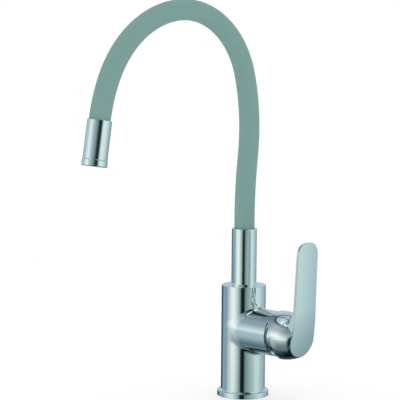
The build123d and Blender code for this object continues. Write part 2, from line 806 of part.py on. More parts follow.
with BuildPart() as head_sleeve:
    with BuildSketch(head_side):
        head_profile = Polygon(
            (sleeve_radius + head_pocket_gap, 0),
            (head_radius, 0),
            (head_radius, head_length),
            (head_chamber, head_length),
            (head_chamber, head_web_end),
            (core_radius + head_pocket_gap, head_web_end),
            (core_radius + head_pocket_gap, head_pocket),
            (sleeve_radius + head_pocket_gap, head_pocket),
            align=None,
        )
        upper_corner = head_profile.vertices().sort_by_distance((head_radius, 0))[0]
        fillet(upper_corner, radius=head_edge)
    revolve(axis=head_axis)
finish(head_sleeve, "head_sleeve")

with BuildPart() as head_ferrule:
    with BuildSketch(head_side):
        Polygon(
            (tube_bore, head_core_end),
            (core_radius, head_core_end),
            (core_radius, head_web_end),
            (head_chamber - fixed_gap, head_web_end),
            (head_chamber - fixed_gap, head_web_end + head_flange_thickness),
            (tube_bore, head_web_end + head_flange_thickness),
            align=None,
        )
    revolve(axis=head_axis)
finish(head_ferrule, "head_ferrule")

with BuildPart() as head_gasket:
    with BuildSketch(across_head(head_web_end + head_flange_thickness)):
        Circle(head_chamber - fixed_gap)
        Circle(insert_radius - 2 * lip_width, mode=Mode.SUBTRACT)
    extrude(amount=head_gasket_thickness)
finish(head_gasket, "head_gasket")

head_end = head_length + collar_length
with BuildPart() as aerator_housing:
    with BuildSketch(head_side):
        housing_profile = Polygon(
            (insert_radius + fixed_gap, aerator_start),
            (head_chamber - fixed_gap, aerator_start),
            (head_chamber - fixed_gap, head_length),
            (collar_radius, head_length),
            (collar_radius, head_end),
            (insert_radius - lip_width, head_end),
            (insert_radius - lip_width, head_end - insert_recess),
            (insert_radius + fixed_gap, head_end - insert_recess),
            align=None,
        )
        collar_corners = housing_profile.vertices().group_by(Axis.X)[-1]
        fillet(collar_corners, radius=collar_edge)
    revolve(axis=head_axis)
finish(aerator_housing, "aerator_housing")

with BuildPart() as aerator_insert:
    with BuildSketch(across_head(aerator_start)):
        Circle(insert_radius)
        with HexLocations(cell_pitch / 2, cell_rows, cell_rows):
            RegularPolygon(cell_flats / 2, 6, major_radius=False, mode=Mode.SUBTRACT)
    extrude(amount=head_end - insert_recess - aerator_start)
finish(aerator_insert, "aerator_insert")
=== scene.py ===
import json
from math import cos, pi, radians, sin, tan

import bmesh
import bpy
import numpy as np
from mathutils import Matrix, Vector


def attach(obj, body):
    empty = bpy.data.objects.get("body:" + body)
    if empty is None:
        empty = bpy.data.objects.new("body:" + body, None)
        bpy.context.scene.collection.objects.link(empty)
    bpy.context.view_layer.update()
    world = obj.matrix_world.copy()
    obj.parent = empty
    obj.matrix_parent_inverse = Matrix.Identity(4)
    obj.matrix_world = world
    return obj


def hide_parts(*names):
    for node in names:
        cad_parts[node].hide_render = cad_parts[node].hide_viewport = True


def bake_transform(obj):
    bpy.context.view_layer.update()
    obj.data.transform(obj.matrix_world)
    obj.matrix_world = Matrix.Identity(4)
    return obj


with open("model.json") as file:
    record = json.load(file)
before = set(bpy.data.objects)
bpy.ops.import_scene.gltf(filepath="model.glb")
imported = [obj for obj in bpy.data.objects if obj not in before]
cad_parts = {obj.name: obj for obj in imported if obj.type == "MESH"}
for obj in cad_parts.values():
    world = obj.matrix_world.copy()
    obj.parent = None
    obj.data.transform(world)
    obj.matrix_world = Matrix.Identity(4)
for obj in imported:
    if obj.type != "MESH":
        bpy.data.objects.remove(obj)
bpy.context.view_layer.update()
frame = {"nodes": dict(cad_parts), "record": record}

bl_info = {
    "name": "Kitchen Mixer Tap",
    "version": (1, 0, 0),
    "blender": (4, 5, 0),
    "location": "View3D > Sidebar > Mixer Tap",
    "description": "Dresses a kitchen mixer tap with a bendable hose spout in its real finishes",
    "category": "Object",
}

MM = 0.001

# Steps round a large and a small turned surface, and along a rounding
ROUND_STEPS = 192
SMALL_STEPS = 64
ROUNDING_STEPS = 7
# How far beside a rounding the points stand that keep it tight
SUPPORT = 0.12
# Shares of a side that a rounding and the point beside it take up at most
ROUNDING_SHARE, SUPPORT_SHARE = 0.45, 0.05
RINGS_PER_PITCH = 6
# Points closer than this in millimetres are made one, and an edge past this angle in degrees is sharp
WELD_DISTANCE = 0.002
CREASE_ANGLE = 35.0


def colour(hex_code):
    """An sRGB hex colour as the linear RGBA that a shader socket takes."""
    channels = [int(hex_code[i : i + 2], 16) / 255 for i in (1, 3, 5)]
    linear = [c / 12.92 if c <= 0.04045 else ((c + 0.055) / 1.055) ** 2.4 for c in channels]
    return (*linear, 1.0)


# Settings that a user would change


def number(name, description, value, **kind):
    """A number property."""
    return bpy.props.FloatProperty(name=name, description=description, default=value, **kind)


def length(name, description, millimetres):
    """A length property, given in millimetres and kept in metres."""
    return number(name, description, millimetres * MM, min=0.0, unit="LENGTH", precision=4)


def tint(name, description, hex_code):
    """A colour property, given as an sRGB hex colour."""
    return bpy.props.FloatVectorProperty(
        name=name, description=description, default=colour(hex_code), size=4, min=0.0, max=1.0, subtype="COLOR"
    )


def angle(name, description, degrees):
    """An angle property, given in degrees."""
    return number(name, description, radians(degrees), subtype="ANGLE", unit="ROTATION")


def share(name, description, value):
    """A plain factor."""
    return number(name, description, value, min=0.0, subtype="FACTOR")


class TapSizes(bpy.types.PropertyGroup):
    """Sizes of the forms that the dressed pieces add to the solids."""

    face_crown: length("Face crown", "How far the handle's front face falls back at its sides", 0.75)
    junction_blend: length("Junction blend", "How softly the barrel runs into the body at the front", 12.0)
    chrome_edge: length("Chrome edge", "Rounding that polishing leaves on a turned chrome edge", 0.25)
    stud_pitch: length("Stud pitch", "Thread pitch of the fixing stud and its nut", 1.25)
    port_pitch: length("Port pitch", "Thread pitch of the supply ports", 1.0)
    thread_depth: length("Thread depth", "Depth of the stud's thread", 0.75)
    nut_chamfer: length("Nut chamfer", "Chamfer on the corners of the clamp nut", 1.2)
    strip_pitch: length("Strip pitch", "Pitch of the wound metal strip inside the hose", 4.0)
    strip_groove: length("Strip groove", "Depth of the groove between two turns of the strip", 0.5)
    bend_start: length("Bend start", "Reach of the spout where the hose begins to follow the head", 10.0)
    bend_end: length("Bend end", "Reach of the spout where the hose follows the head wholly", 184.0)


class TapFinishes(bpy.types.PropertyGroup):
    """Colours of the finishes."""

    chrome: tint("Chrome", "Bright chrome plate", "#F2F5F5")
    silicone: tint("Silicone", "Sage grey silicone sleeve", "#7B9E98")
    brass: tint("Brass", "Turned brass", "#C9A961")
    steel: tint("Steel", "Zinc-plated steel", "#AEB3B6")
    rubber: tint("Rubber", "Black EPDM rubber", "#1A1A1C")
    ceramic: tint("Ceramic", "Lapped alumina", "#ECE9E1")
    grey_plastic: tint("Grey plastic", "Moulded grey acetal", "#9BA1A6")
    white_plastic: tint("White plastic", "White polyethylene and acetal", "#E4E5E0")


class TapStudio(bpy.types.PropertyGroup):
    """The camera and the light tent."""

    azimuth: angle("Azimuth", "Camera's direction, from the front towards the lever", 44.011)
    pitch: angle("Pitch", "How far the camera looks down", 5.808)
    yaw: angle("Yaw", "How far the camera looks left of the tap's axis", 1.524)
    roll: angle("Roll", "How far the camera is tilted", 0.447)
    distance: length("Distance", "Camera's distance from the tap's axis over the floor", 1739.602)
    height: length("Height", "Camera's height over the floor", 380.774)
    field: angle("Field of view", "Camera's angle of view across the picture", 13.505)
    tent_strength: share("Tent strength", "Brightness of the light tent that the metal mirrors", 1.1)
    soft_strength: share("Soft light", "Brightness of the even light on the matt surfaces", 1.06)


# Shader helpers


def add_node(tree, kind, settings=None, links=None):
    """Add a shader node, give its sockets and properties their settings and link its inputs."""
    node = tree.nodes.new(kind)
    for key, value in (settings or {}).items():
        if key == "stops":
            stops = node.color_ramp.elements
            while len(stops) > 1:
                stops.remove(stops[-1])
            for i, (position, tone) in enumerate(value):
                stop = stops.new(position) if i else stops[0]
                stop.position = position
                stop.color = tone
        elif isinstance(key, int) or key in node.inputs:
            node.inputs[key].default_value = value
        else:
            setattr(node, key, value)
    for key, source in (links or {}).items():
        tree.links.new(source, node.inputs[key])
    return node


def split(inputs):
    """Inputs, each a value or another node's output, as the settings and the links that add_node takes."""
    links = {key: value for key, value in inputs.items() if isinstance(value, bpy.types.NodeSocket)}
    return {key: value for key, value in inputs.items() if key not in links}, links


def maths(tree, operation, *inputs):
    """The result of a maths node."""
    values, links = split(dict(enumerate(inputs)))
    return add_node(tree, "ShaderNodeMath", {"operation": operation, **values}, links).outputs[0]


def mix(tree, amount, low, high, blend="MIX"):
    """A colour mixed from two."""
    values, links = split({0: amount, 6: low, 7: high})
    return add_node(tree, "ShaderNodeMix", {"data_type": "RGBA", "blend_type": blend, **values}, links).outputs[2]


def soft_step(tree, limits, value):
    """A value's soft rise from 0 to 1 between two limits."""
    low, high = limits
    settings = {"interpolation_type": "SMOOTHSTEP", "From Min": low, "From Max": high}
    return add_node(tree, "ShaderNodeMapRange", settings, {"Value": value}).outputs[0]


def new_material(name):
    """An empty material and its node tree."""
    material = bpy.data.materials.new(name)
    material.use_nodes = True
    material.node_tree.nodes.clear()
    return material, material.node_tree


def noise(tree, spacing, detail=2.0, stretch=(1, 1, 1)):
    """A noise with features about a spacing in millimetres apart."""
    place = add_node(tree, "ShaderNodeTexCoord").outputs["Object"]
    scaled = add_node(tree, "ShaderNodeMapping", {"Scale": stretch}, {"Vector": place}).outputs[0]
    settings = {"Scale": 1 / (spacing * MM), "Detail": detail}
    return add_node(tree, "ShaderNodeTexNoise", settings, {"Vector": scaled}).outputs["Fac"]


def toned(base, factor):
    """A colour made lighter or darker by a factor."""
    return (*[min(1.0, channel * factor) for channel in base[:3]], 1.0)


def finish(name, settings, relief=None, gloss=None, tint=None, stretch=(1, 1, 1), detail=2.0):
    """A Principled finish: a relief of (spacing, depth) and its stretch, a gloss of (spacing, low, high) and its
    detail, and a tint of (colour, spacing, darkest factor, lightest factor), in millimetres."""
    material, tree = new_material(name)
    links = {}
    if relief:
        spacing, depth = relief
        height = noise(tree, spacing, stretch=stretch)
        bump = add_node(tree, "ShaderNodeBump", {"Strength": 1.0, "Distance": depth * MM}, {"Height": height})
        links["Normal"] = bump.outputs["Normal"]
    if gloss:
        spacing, low, high = gloss
        marks = noise(tree, spacing, detail)
        uneven = add_node(tree, "ShaderNodeMapRange", {"To Min": low, "To Max": high}, {"Value": marks})
        links["Roughness"] = uneven.outputs["Result"]
    if tint:
        base, spacing, low, high = tint
        links["Base Color"] = mix(tree, noise(tree, spacing), toned(base, low), toned(base, high))
    surface = add_node(tree, "ShaderNodeBsdfPrincipled", settings, links)
    add_node(tree, "ShaderNodeOutputMaterial", None, {"Surface": surface.outputs["BSDF"]})
    return material


def make_finishes(tints):
    """Every finish of the tap, by the record's material slot."""
    return {
        # Bright chrome over polished brass: a clear cold mirror, with faint wiping marks in its gloss
        "chrome": finish(
            "polished_chrome_plate", {"Base Color": tints.chrome, "Metallic": 1.0},
            gloss=(18.0, 0.02, 0.045), detail=3.0,
        ),
        # Extruded silicone rubber: dead matt and soft to the eye, with a skin as fine as dust
        "silicone": finish(
            "extruded_silicone_rubber", {"Roughness": 0.8, "IOR": 1.41, "Sheen Weight": 0.08, "Sheen Roughness": 0.5},
            relief=(0.9, 0.03), tint=(tints.silicone, 6.0, 0.97, 1.03),
        ),
        # Turned brass left bare: warm, with fine tool lines that stretch its shine
        "brass": finish(
            "turned_brass", {"Metallic": 1.0}, relief=(0.6, 0.02), stretch=(0.1, 0.1, 1.0), gloss=(3.0, 0.22, 0.36),
            tint=(tints.brass, 5.0, 0.9, 1.05),
        ),
        # Bright zinc on pressed steel: a bluish satin with soft cloudy spangle
        "steel": finish(
            "bright_zinc_plated_steel", {"Metallic": 1.0}, relief=(1.2, 0.02), gloss=(2.5, 0.25, 0.45),
            tint=(tints.steel, 4.0, 0.85, 1.08),
        ),
        # Moulded EPDM: nearly black, with a dull bloom
        "black_rubber": finish(
            "moulded_epdm_rubber", {"IOR": 1.5}, relief=(0.5, 0.04), gloss=(2.0, 0.55, 0.75),
            tint=(tints.rubber, 3.0, 1.0, 2.2),
        ),
        # Lapped alumina: ivory white, dense and faintly speckled, satin where it seals
        "alumina": finish(
            "lapped_alumina_ceramic",
            {"IOR": 1.76, "Subsurface Weight": 0.05, "Subsurface Radius": (0.001, 0.001, 0.001)},
            gloss=(1.0, 0.15, 0.3), tint=(tints.ceramic, 0.5, 0.93, 1.0),
        ),
        # Injection-moulded acetal: smooth and waxy, with a faint flow mark
        "grey_plastic": finish(
            "moulded_grey_acetal", {"IOR": 1.48}, relief=(0.7, 0.015), gloss=(2.0, 0.35, 0.5),
            tint=(tints.grey_plastic, 8.0, 0.95, 1.04),
        ),
        # White polyethylene: translucent white, softly shining
        "white_plastic": finish(
            "extruded_white_polyethylene",
            {"IOR": 1.51, "Subsurface Weight": 0.1, "Subsurface Radius": (0.002, 0.002, 0.002)},
            relief=(0.8, 0.015), gloss=(2.0, 0.35, 0.55), tint=(tints.white_plastic, 6.0, 0.96, 1.0),
        ),
    }


# Mesh helpers: points in millimetres, in the row's frame


def grid_faces(rows, columns, close_rows=False):
    """Quads of a grid of points, joined round its columns and, where asked, its rows."""
    index = np.arange(rows * columns).reshape(rows, columns)
    beside = np.roll(index, -1, 1)
    corners = np.stack([index, beside, np.roll(beside, -1, 0), np.roll(index, -1, 0)], -1)
    return (corners if close_rows else corners[:-1]).reshape(-1, 4)


def dressed(name, shell, slot, crease=CREASE_ANGLE):
    """The mesh object of a shell, smooth with its edges sharp past an angle, and with its slot's finish on."""
    mesh = bpy.data.meshes.new(name)
    shell.to_mesh(mesh)
    shell.free()
    mesh.shade_smooth()
    mesh.set_sharp_from_angle(angle=radians(crease))
    piece = bpy.data.objects.new(name, mesh)
    bpy.context.scene.collection.objects.link(piece)
    mesh.materials.append(FINISHES[slot])
    return piece


def make_piece(name, parts, slot):
    """One dressed mesh object from (points, faces) parts, welded and its normals outward."""
    shell = bmesh.new()
    for points, faces in parts:
        vertices = [shell.verts.new(point) for point in (np.asarray(points).reshape(-1, 3) * MM).tolist()]
        for face in faces:
            corners = [vertices[i] for i in face]
            if len(set(corners)) > 2:
                shell.faces.new(corners)
    bmesh.ops.remove_doubles(shell, verts=shell.verts, dist=WELD_DISTANCE * MM)
    bmesh.ops.recalc_face_normals(shell, faces=shell.faces)
    piece = dressed(name, shell, slot)
    return piece


def rounded(corners, closed=True):
    """A profile of (radius, height, rounding) corners as points, with a support point each side of a rounding."""
    spots = np.array([corner[:2] for corner in corners], float)
    points = []
    for i, (here, corner) in enumerate(zip(spots, corners)):
        if corner[2] == 0 or (not closed and i in (0, len(corners) - 1)):
            points.append(here)
            continue
        before = spots[i - 1] - here
        after = spots[(i + 1) % len(spots)] - here
        before_length, after_length = np.linalg.norm(before), np.linalg.norm(after)
        before, after = before / before_length, after / after_length
        half = np.arccos(np.clip(before @ after, -1, 1)) / 2
        reach = min(corner[2] / tan(half), ROUNDING_SHARE * before_length, ROUNDING_SHARE * after_length)
        centre = here + (before + after) / np.linalg.norm(before + after) * reach / cos(half)
        start, end = here + before * reach, here + after * reach
        sweep = pi - 2 * half
        points.append(start + before * min(SUPPORT, SUPPORT_SHARE * before_length))
        for turn in np.linspace(0, sweep, ROUNDING_STEPS + 1):
            points.append(centre + ((start - centre) * sin(sweep - turn) + (end - centre) * sin(turn)) / sin(sweep))
        points.append(end + after * min(SUPPORT, SUPPORT_SHARE * after_length))
    return np.array(points)


def turned(profile, origin=(0, 0, 0), axis=(0, 0, 1), steps=ROUND_STEPS, close=True):
    """A profile of (radius, height) points turned about an axis, as a part for make_piece."""
    axis = np.asarray(axis, float) / np.linalg.norm(axis)
    aside = np.cross((0, 1, 0) if abs(axis[1]) < 0.9 else (1, 0, 0), axis)
    aside /= np.linalg.norm(aside)
    across = np.cross(axis, aside)
    angles = np.arange(steps) / steps * 2 * pi
    ring = np.cos(angles)[:, None] * aside + np.sin(angles)[:, None] * across
    profile = np.asarray(profile, float)
    points = np.asarray(origin) + profile[:, None, :1] * ring[None] + profile[:, None, 1:2] * axis
    return points, grid_faces(len(profile), steps, close_rows=close)


def bore(profile, place=(0, 0), steps=SMALL_STEPS):
    """An upright turned wall at a place, open at both ends."""
    return turned(profile, (*place, 0), steps=steps, close=False)


def wall_points(centre, reach, angles, heights):
    """Points round a vertical axis, as rows of one height by columns of one angle."""
    x, y = centre[0] + reach * np.cos(angles), centre[1] + reach * np.sin(angles)
    return np.stack(np.broadcast_arrays(x, y, heights[:, None]), -1)


def disc_cap(ring):
    """The fan that closes a ring of points."""
    count = len(ring)
    points = np.vstack([ring, ring.mean(0)])
    return points, [(i, (i + 1) % count, count) for i in range(count)]


def eased(part):
    """A part from 0 to 1 that starts and stops softly."""
    return part * part * (3 - 2 * part)


# Body casting: the upright body and the barrel, run together by a blend that is broad in front and tight above

BODY_RADIUS = 23.0
BODY_FOOT = 6.0
BODY_TOP = 116.0
BODY_EDGE = 0.8
BARREL_HEIGHT = 70.5
BARREL_FACE = 51.5
BARREL_EDGE = 0.5
# Rows of the skin below the barrel, above it and along it, and the power that makes them finer at the junction
ROWS_BELOW, ROWS_ABOVE, ROWS_ALONG = 40, 34, 44
FINER_UP, FINER_ALONG = 1.7, 1.6
# How far the last row but one stands from the edge
EDGE_SUPPORT = 0.15
# How much tighter than in front the blend is behind the body's axis
TIGHTER_BEHIND = 2
# Steps in which the points settle on the blended surface
SETTLING_STEPS = 6

# Well that the supply hoses come up, and the depth of the domed ring's mouth along the barrel
WELL_RADIUS = 17.0
WELL_TOP = 40.0
MOUTH_END = 47.0
# Supply ports in the well's top, with (radius, height) up each mouth and waterway, and the stud's hole
PORT_PLACES = ((-3.0, -8.0), (-3.0, 8.0))
PORT_MOUTH = ((5.2, WELL_TOP), (4.5, WELL_TOP + 0.7))
PORT_WAY = ((4.5, WELL_TOP + 12), (3.2, WELL_TOP + 12), (3.2, WELL_TOP + 20))
PORT_THREAD_DEPTH = 0.5
STUD_PLACE = (11.0, 0.0)
STUD_RADIUS = 4.0
STUD_ENGAGEMENT = 10.0
STUD_HOLE_RADIUS = STUD_RADIUS + 0.05
# Retaining screw's hole: its height, and (radius, reach behind the axis) at both ends
SCREW_HOLE_HEIGHT = 101.0
SCREW_HOLE = ((2.55, 10.6), (2.55, 24.0))


def junction(points, softness):
    """Move points of two crossed cylinders onto one blended surface."""
    points = np.array(points, float)
    size = softness**2
    for _ in range(SETTLING_STEPS):
        x, y, w = points[:, 0], points[:, 1], points[:, 2] - BARREL_HEIGHT
        behind = TIGHTER_BEHIND * np.minimum(x, 0)
        upright, lying = x**2, w**2 + behind**2
        near = np.clip(size - np.abs(upright - lying), 0, None) / size
        value = y**2 + np.minimum(upright, lying) - near**2 * size / 4 - BODY_RADIUS**2
        to_upright = np.where(upright < lying, 1 - near / 2, near / 2)
        to_lying = 1 - to_upright
        slope_x = 2 * x * to_upright + 2 * TIGHTER_BEHIND * behind * to_lying
        slope = np.stack([slope_x, 2 * y, 2 * w * to_lying], 1)
        step = value / np.maximum((slope**2).sum(1), 1e-6)
        step[near == 0] = 0
        points -= step[:, None] * slope
    return points


def graded(start, end, steps, power):
    """Values from start to end, closer together at the start."""
    return start + (end - start) * np.linspace(0, 1, steps + 1) ** power


def body_skin(softness):
    """The outer skin: columns of the upright body below and above the barrel, and the barrel's own columns."""
    turns = np.arange(ROUND_STEPS) / ROUND_STEPS * 2 * pi
    # At each turn, how far a column of the body stands forward, which is as high as one of the barrel stands
    out, y = BODY_RADIUS * np.sin(turns), -BODY_RADIUS * np.cos(turns)
    crease = np.maximum(out, 0)
    foot, top, end = BODY_FOOT - BARREL_HEIGHT, BODY_TOP - BODY_EDGE - BARREL_HEIGHT, BARREL_FACE - BARREL_EDGE
    lower = np.array([graded(-c, foot, ROWS_BELOW, FINER_UP)[::-1] for c in crease]).T
    upper = np.array([graded(c, top - EDGE_SUPPORT, ROWS_ABOVE, FINER_UP) for c in crease]).T
    upper = np.vstack([upper, np.full((1, ROUND_STEPS), top)])
    along = np.array([graded(abs(w), end - EDGE_SUPPORT, ROWS_ALONG, FINER_ALONG) for w in out]).T
    along = np.vstack([along, np.full((1, ROUND_STEPS), end)])
    skins = (out, y, lower + BARREL_HEIGHT), (out, y, upper + BARREL_HEIGHT), (along, y, out + BARREL_HEIGHT)
    grids = [np.stack(np.broadcast_arrays(*skin), -1) for skin in skins]
    return [(junction(grid.reshape(-1, 3), softness), grid_faces(*grid.shape[:2])) for grid in grids]


def threaded(radius, depth, pitch, start, end, steps=SMALL_STEPS, centre=(0, 0)):
    """Rings of a V thread round a vertical axis: cut in where depth is negative, out where it is positive."""
    heights = np.linspace(start, end, int(abs(end - start) / pitch * RINGS_PER_PITCH) + 2)
    turns = np.arange(steps) / steps
    phase = (heights[:, None] / pitch - turns[None, :]) % 1
    low, high = min(start, end), max(start, end)
    fade = np.clip(np.minimum(heights - low, high - heights) / pitch, 0, 1)[:, None]
    reach = radius + depth * np.abs(2 * phase - 1) * fade
    return wall_points(centre, reach, turns * 2 * pi, heights), grid_faces(len(heights), steps)


def pierced_disc(radius, height, holes):
    """A flat disc with round holes of (x, y, radius), as a part for make_piece."""
    shell = bmesh.new()
    rings = [(0.0, 0.0, radius, ROUND_STEPS)] + [(*hole, SMALL_STEPS) for hole in holes]
    for x, y, reach, steps in rings:
        angles = np.arange(steps) / steps * 2 * pi
        ring = [shell.verts.new((x + reach * cos(a), y + reach * sin(a), height)) for a in angles]
        for i in range(steps):
            shell.edges.new((ring[i], ring[(i + 1) % steps]))
    bmesh.ops.triangle_fill(shell, edges=shell.edges, use_beauty=True, normal=(0, 0, 1))
    shell.verts.index_update()
    points = [tuple(vertex.co) for vertex in shell.verts]
    faces = [[vertex.index for vertex in face.verts] for face in shell.faces]
    shell.free()
    return points, faces


def port_bore(place, pitch):
    """A supply port: a chamfered mouth, a tapped wall and a blind waterway above it."""
    radius, foot = PORT_MOUTH[-1]
    wall = threaded(radius, PORT_THREAD_DEPTH, pitch, foot, PORT_WAY[0][1], centre=place)
    mouth, way = bore(PORT_MOUTH, place), bore(PORT_WAY, place)
    return [mouth, wall, way, disc_cap(way[0][-1])]


def make_casting(sizes):
    """The whole casting as one closed skin. Corners are (radius, place on the axis, rounding)."""
    # Spout socket: top edge, washer's seat, nipple's bore and outlet
    seat_height = BODY_TOP - 0.9
    socket_corners = [
        (BODY_RADIUS, BODY_TOP - BODY_EDGE, 0), (BODY_RADIUS, BODY_TOP, BODY_EDGE), (12.85, BODY_TOP, 0.2),
        (12.85, seat_height, 0.1), (11, seat_height, 0.1), (11, 94, 0.1), (4, 94, 0.1), (4, 80, 0),
    ]
    # Foot, spigot in the base ring, and well
    well_corners = [
        (BODY_RADIUS, BODY_FOOT, 0), (19.45, BODY_FOOT, 0.1), (19.45, 1, 0.3), (WELL_RADIUS, 1, 0.3),
        (WELL_RADIUS, WELL_TOP, 0),
    ]
    # Cartridge seat along the barrel: front edge, domed ring's mouth, nut's thread and cartridge's bore
    seat_corners = [
        (BODY_RADIUS, BARREL_FACE - BARREL_EDGE, 0), (BODY_RADIUS - BARREL_EDGE, BARREL_FACE, 0.2),
        (19.7, BARREL_FACE, 0.1), (19.7, MOUTH_END, 0.1), (18.35, MOUTH_END, 0.1), (18.35, 40.7, 0.1),
        (17.5, 40.7, 0.1), (17.5, 13, 0),
    ]
    socket = bore(rounded(socket_corners, closed=False), steps=ROUND_STEPS)
    well = bore(rounded(well_corners, closed=False), steps=ROUND_STEPS)
    seat = turned(rounded(seat_corners, closed=False), (0, 0, BARREL_HEIGHT), (1, 0, 0), close=False)
    stud_hole = bore([(STUD_HOLE_RADIUS, WELL_TOP), (STUD_HOLE_RADIUS, WELL_TOP + STUD_ENGAGEMENT)], STUD_PLACE)
    holes = [(*place, PORT_MOUTH[0][0]) for place in PORT_PLACES] + [(*STUD_PLACE, STUD_HOLE_RADIUS)]
    parts = body_skin(sizes.junction_blend / MM)
    parts += [socket, well, seat, stud_hole, pierced_disc(WELL_RADIUS, WELL_TOP, holes)]
    parts += [disc_cap(part[0][-1]) for part in (socket, seat, stud_hole)]
    for place in PORT_PLACES:
        parts += port_bore(place, sizes.port_pitch / MM)
    piece = make_piece("body_casting_skin", parts, "chrome")
    cut_screw_hole(piece)
    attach(piece, "body")
    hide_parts("body_casting")


def cut_screw_hole(casting):
    """Cut the retaining screw's hole through the back of the casting."""
    drill = turned(SCREW_HOLE, (0, 0, SCREW_HOLE_HEIGHT), (-1, 0, 0), SMALL_STEPS, close=False)
    cutter = make_piece("screw_hole_cutter", [drill, disc_cap(drill[0][0]), disc_cap(drill[0][-1])], "chrome")
    cut = casting.modifiers.new("screw_hole", "BOOLEAN")
    cut.operation = "DIFFERENCE"
    cut.solver = "EXACT"
    cut.object = cutter
    bpy.context.view_layer.update()
    drilled = bpy.data.meshes.new_from_object(casting.evaluated_get(bpy.context.evaluated_depsgraph_get()))
    casting.modifiers.clear()
    casting.data = drilled
    drilled.name = casting.name
    bpy.data.objects.remove(cutter)


# Handle: the front face runs from its top over a bend to the tip under the hub, as (x, height over the barrel's axis)

PADDLE_TOP = (90.4, 97.6)
PADDLE_BEND = (87.3, 28.0)
PADDLE_TIP = (78.2, -24.6)
PADDLE_HALF_WIDTH = 14.5
PADDLE_THICKNESS = 3.2
# Rounding of the front face's edge in the solid, the keener one that it gets, and where that sets in, by height
FACE_EDGE = 1.3
KEEN_EDGE = 0.35
KEEN_FROM, KEEN_TO = 64.0, 92.0
# How its points are found: a normal's least lean aside, and how well and how far past it they lie, in millimetres
LEAST_LEAN = 0.05
ROUNDING_FIT, ROUNDING_SLACK = 0.15, 0.02
SAME_PLACE = 0.002
# Cuts across the front face, so that it can be crowned, its least reach along the barrel, and its normals' least x
FACE_CUTS = (((0, 1, 0), np.arange(-14.0, 14.1, 2.0)), ((0, 0, 1), np.arange(50.0, 168.0, 3.0)))
FACE_BEGINS = 77.0
FACING_FRONT = 0.9
HANDLE_CREASE = 30.0


def face_distance(heights):
    """Where the handle's flat front face stands along the barrel at each height over the barrel's axis."""
    bend, tip = np.array(PADDLE_BEND), np.array(PADDLE_TIP)
    lean = bend - PADDLE_TOP
    inward = np.array([lean[1], -lean[0]]) / np.linalg.norm(lean)
    radius = (tip - bend) @ (tip - bend) / (2 * (tip - bend) @ inward)
    centre = bend + radius * inward
    curved = centre[0] + np.sqrt(np.maximum(radius**2 - (heights - centre[1]) ** 2, 0))
    return np.where(heights > bend[1], bend[0] + (heights - bend[1]) * lean[0] / lean[1], curved)


def keen_points(solid):
    """The solid's points, with the round edge of the paddle's front face drawn towards its corner above the foot."""
    points = np.array([vertex.co for vertex in solid.vertices]) / MM
    corners = np.array([loop.vertex_index for loop in solid.loops])
    normals = np.zeros_like(points)
    np.add.at(normals, corners, np.array([normal.vector for normal in solid.corner_normals]))
    normals /= np.linalg.norm(normals, axis=1)[:, None]
    heights, step = points[:, 2] - BARREL_HEIGHT, 0.05
    # The face's outward direction at each point's height, and how far the point lies behind the face
    lean = (face_distance(heights + step) - face_distance(heights - step)) / (2 * step)
    ahead = np.stack([np.ones_like(lean), np.zeros_like(lean), -lean], 1) / np.sqrt(1 + lean**2)[:, None]
    depth = (face_distance(heights) - points[:, 0]) * ahead[:, 0]
    facing = (normals * ahead).sum(1)
    side = normals - facing[:, None] * ahead
    # Points of the rounding have a normal that leans aside as far as their depth behind the face says
    on_edge = np.abs(depth - FACE_EDGE * (1 - facing)) < ROUNDING_FIT
    on_edge &= (np.linalg.norm(side, axis=1) > LEAST_LEAN) & (depth < FACE_EDGE + ROUNDING_SLACK)
    # Each face of the solid has points of its own, and those in the same place move together
    keys = [tuple(key) for key in np.round(points / SAME_PLACE).astype(int).tolist()]
    sums = {}
    for index in np.nonzero(on_edge)[0]:
        sums[keys[index]] = sums.get(keys[index], 0) + side[index]
    for index, key in enumerate(keys):
        if key in sums:
            outward = sums[key] / np.linalg.norm(sums[key])
            rise = np.clip((points[index, 2] - KEEN_FROM) / (KEEN_TO - KEEN_FROM), 0, 1)
            reach = (FACE_EDGE - KEEN_EDGE) * eased(rise)
            turn = np.arccos(np.clip(1 - depth[index] / FACE_EDGE, 0, 1))
            points[index] += reach * ((1 - np.cos(turn)) * ahead[index] + (1 - np.sin(turn)) * outward)
    return points * MM


def make_handle(sizes):
    """The handle with a keener edge and its front face slightly crowned across, as polishing leaves it."""
    solid = frame["nodes"]["handle"].data
    shell = bmesh.new()
    shell.from_mesh(solid)
    for vertex, point in zip(shell.verts, keen_points(solid).tolist()):
        vertex.co = point
    begins = FACE_BEGINS * MM
    for normal, places in FACE_CUTS:
        for place in places:
            facing = [face for face in shell.faces if face.normal.x > FACING_FRONT]
            front = [face for face in facing if face.calc_center_median().x > begins]
            cut = front + list({edge for face in front for edge in face.edges})
            cut += list({vertex for face in front for vertex in face.verts})
            bmesh.ops.bisect_plane(shell, geom=cut, plane_co=Vector(normal) * place * MM, plane_no=normal, dist=1e-6)
    points = np.array([vertex.co for vertex in shell.verts]) / MM
    depth = face_distance(points[:, 2] - BARREL_HEIGHT) - points[:, 0]
    in_front = eased(np.clip(1 - depth / PADDLE_THICKNESS, 0, 1))
    points[:, 0] -= sizes.face_crown / MM * (points[:, 1] / PADDLE_HALF_WIDTH) ** 2 * in_front
    for vertex, point in zip(shell.verts, (points * MM).tolist()):
        vertex.co = point
    piece = dressed("handle_crowned", shell, "chrome", HANDLE_CREASE)
    smooth = piece.modifiers.new("flat_faces_lead", "WEIGHTED_NORMAL")
    smooth.keep_sharp = True
    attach(piece, "lever")
    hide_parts("handle")


# Turned chrome pieces: base ring, domed ring, spout column, spray head and its collar

# The spout column's top, and how far its foot and the lip that hides the washer stand over the body
COLUMN_TOP = 175.0
COLUMN_FOOT = BODY_TOP + 0.3
COLUMN_LIP = BODY_TOP + 0.08

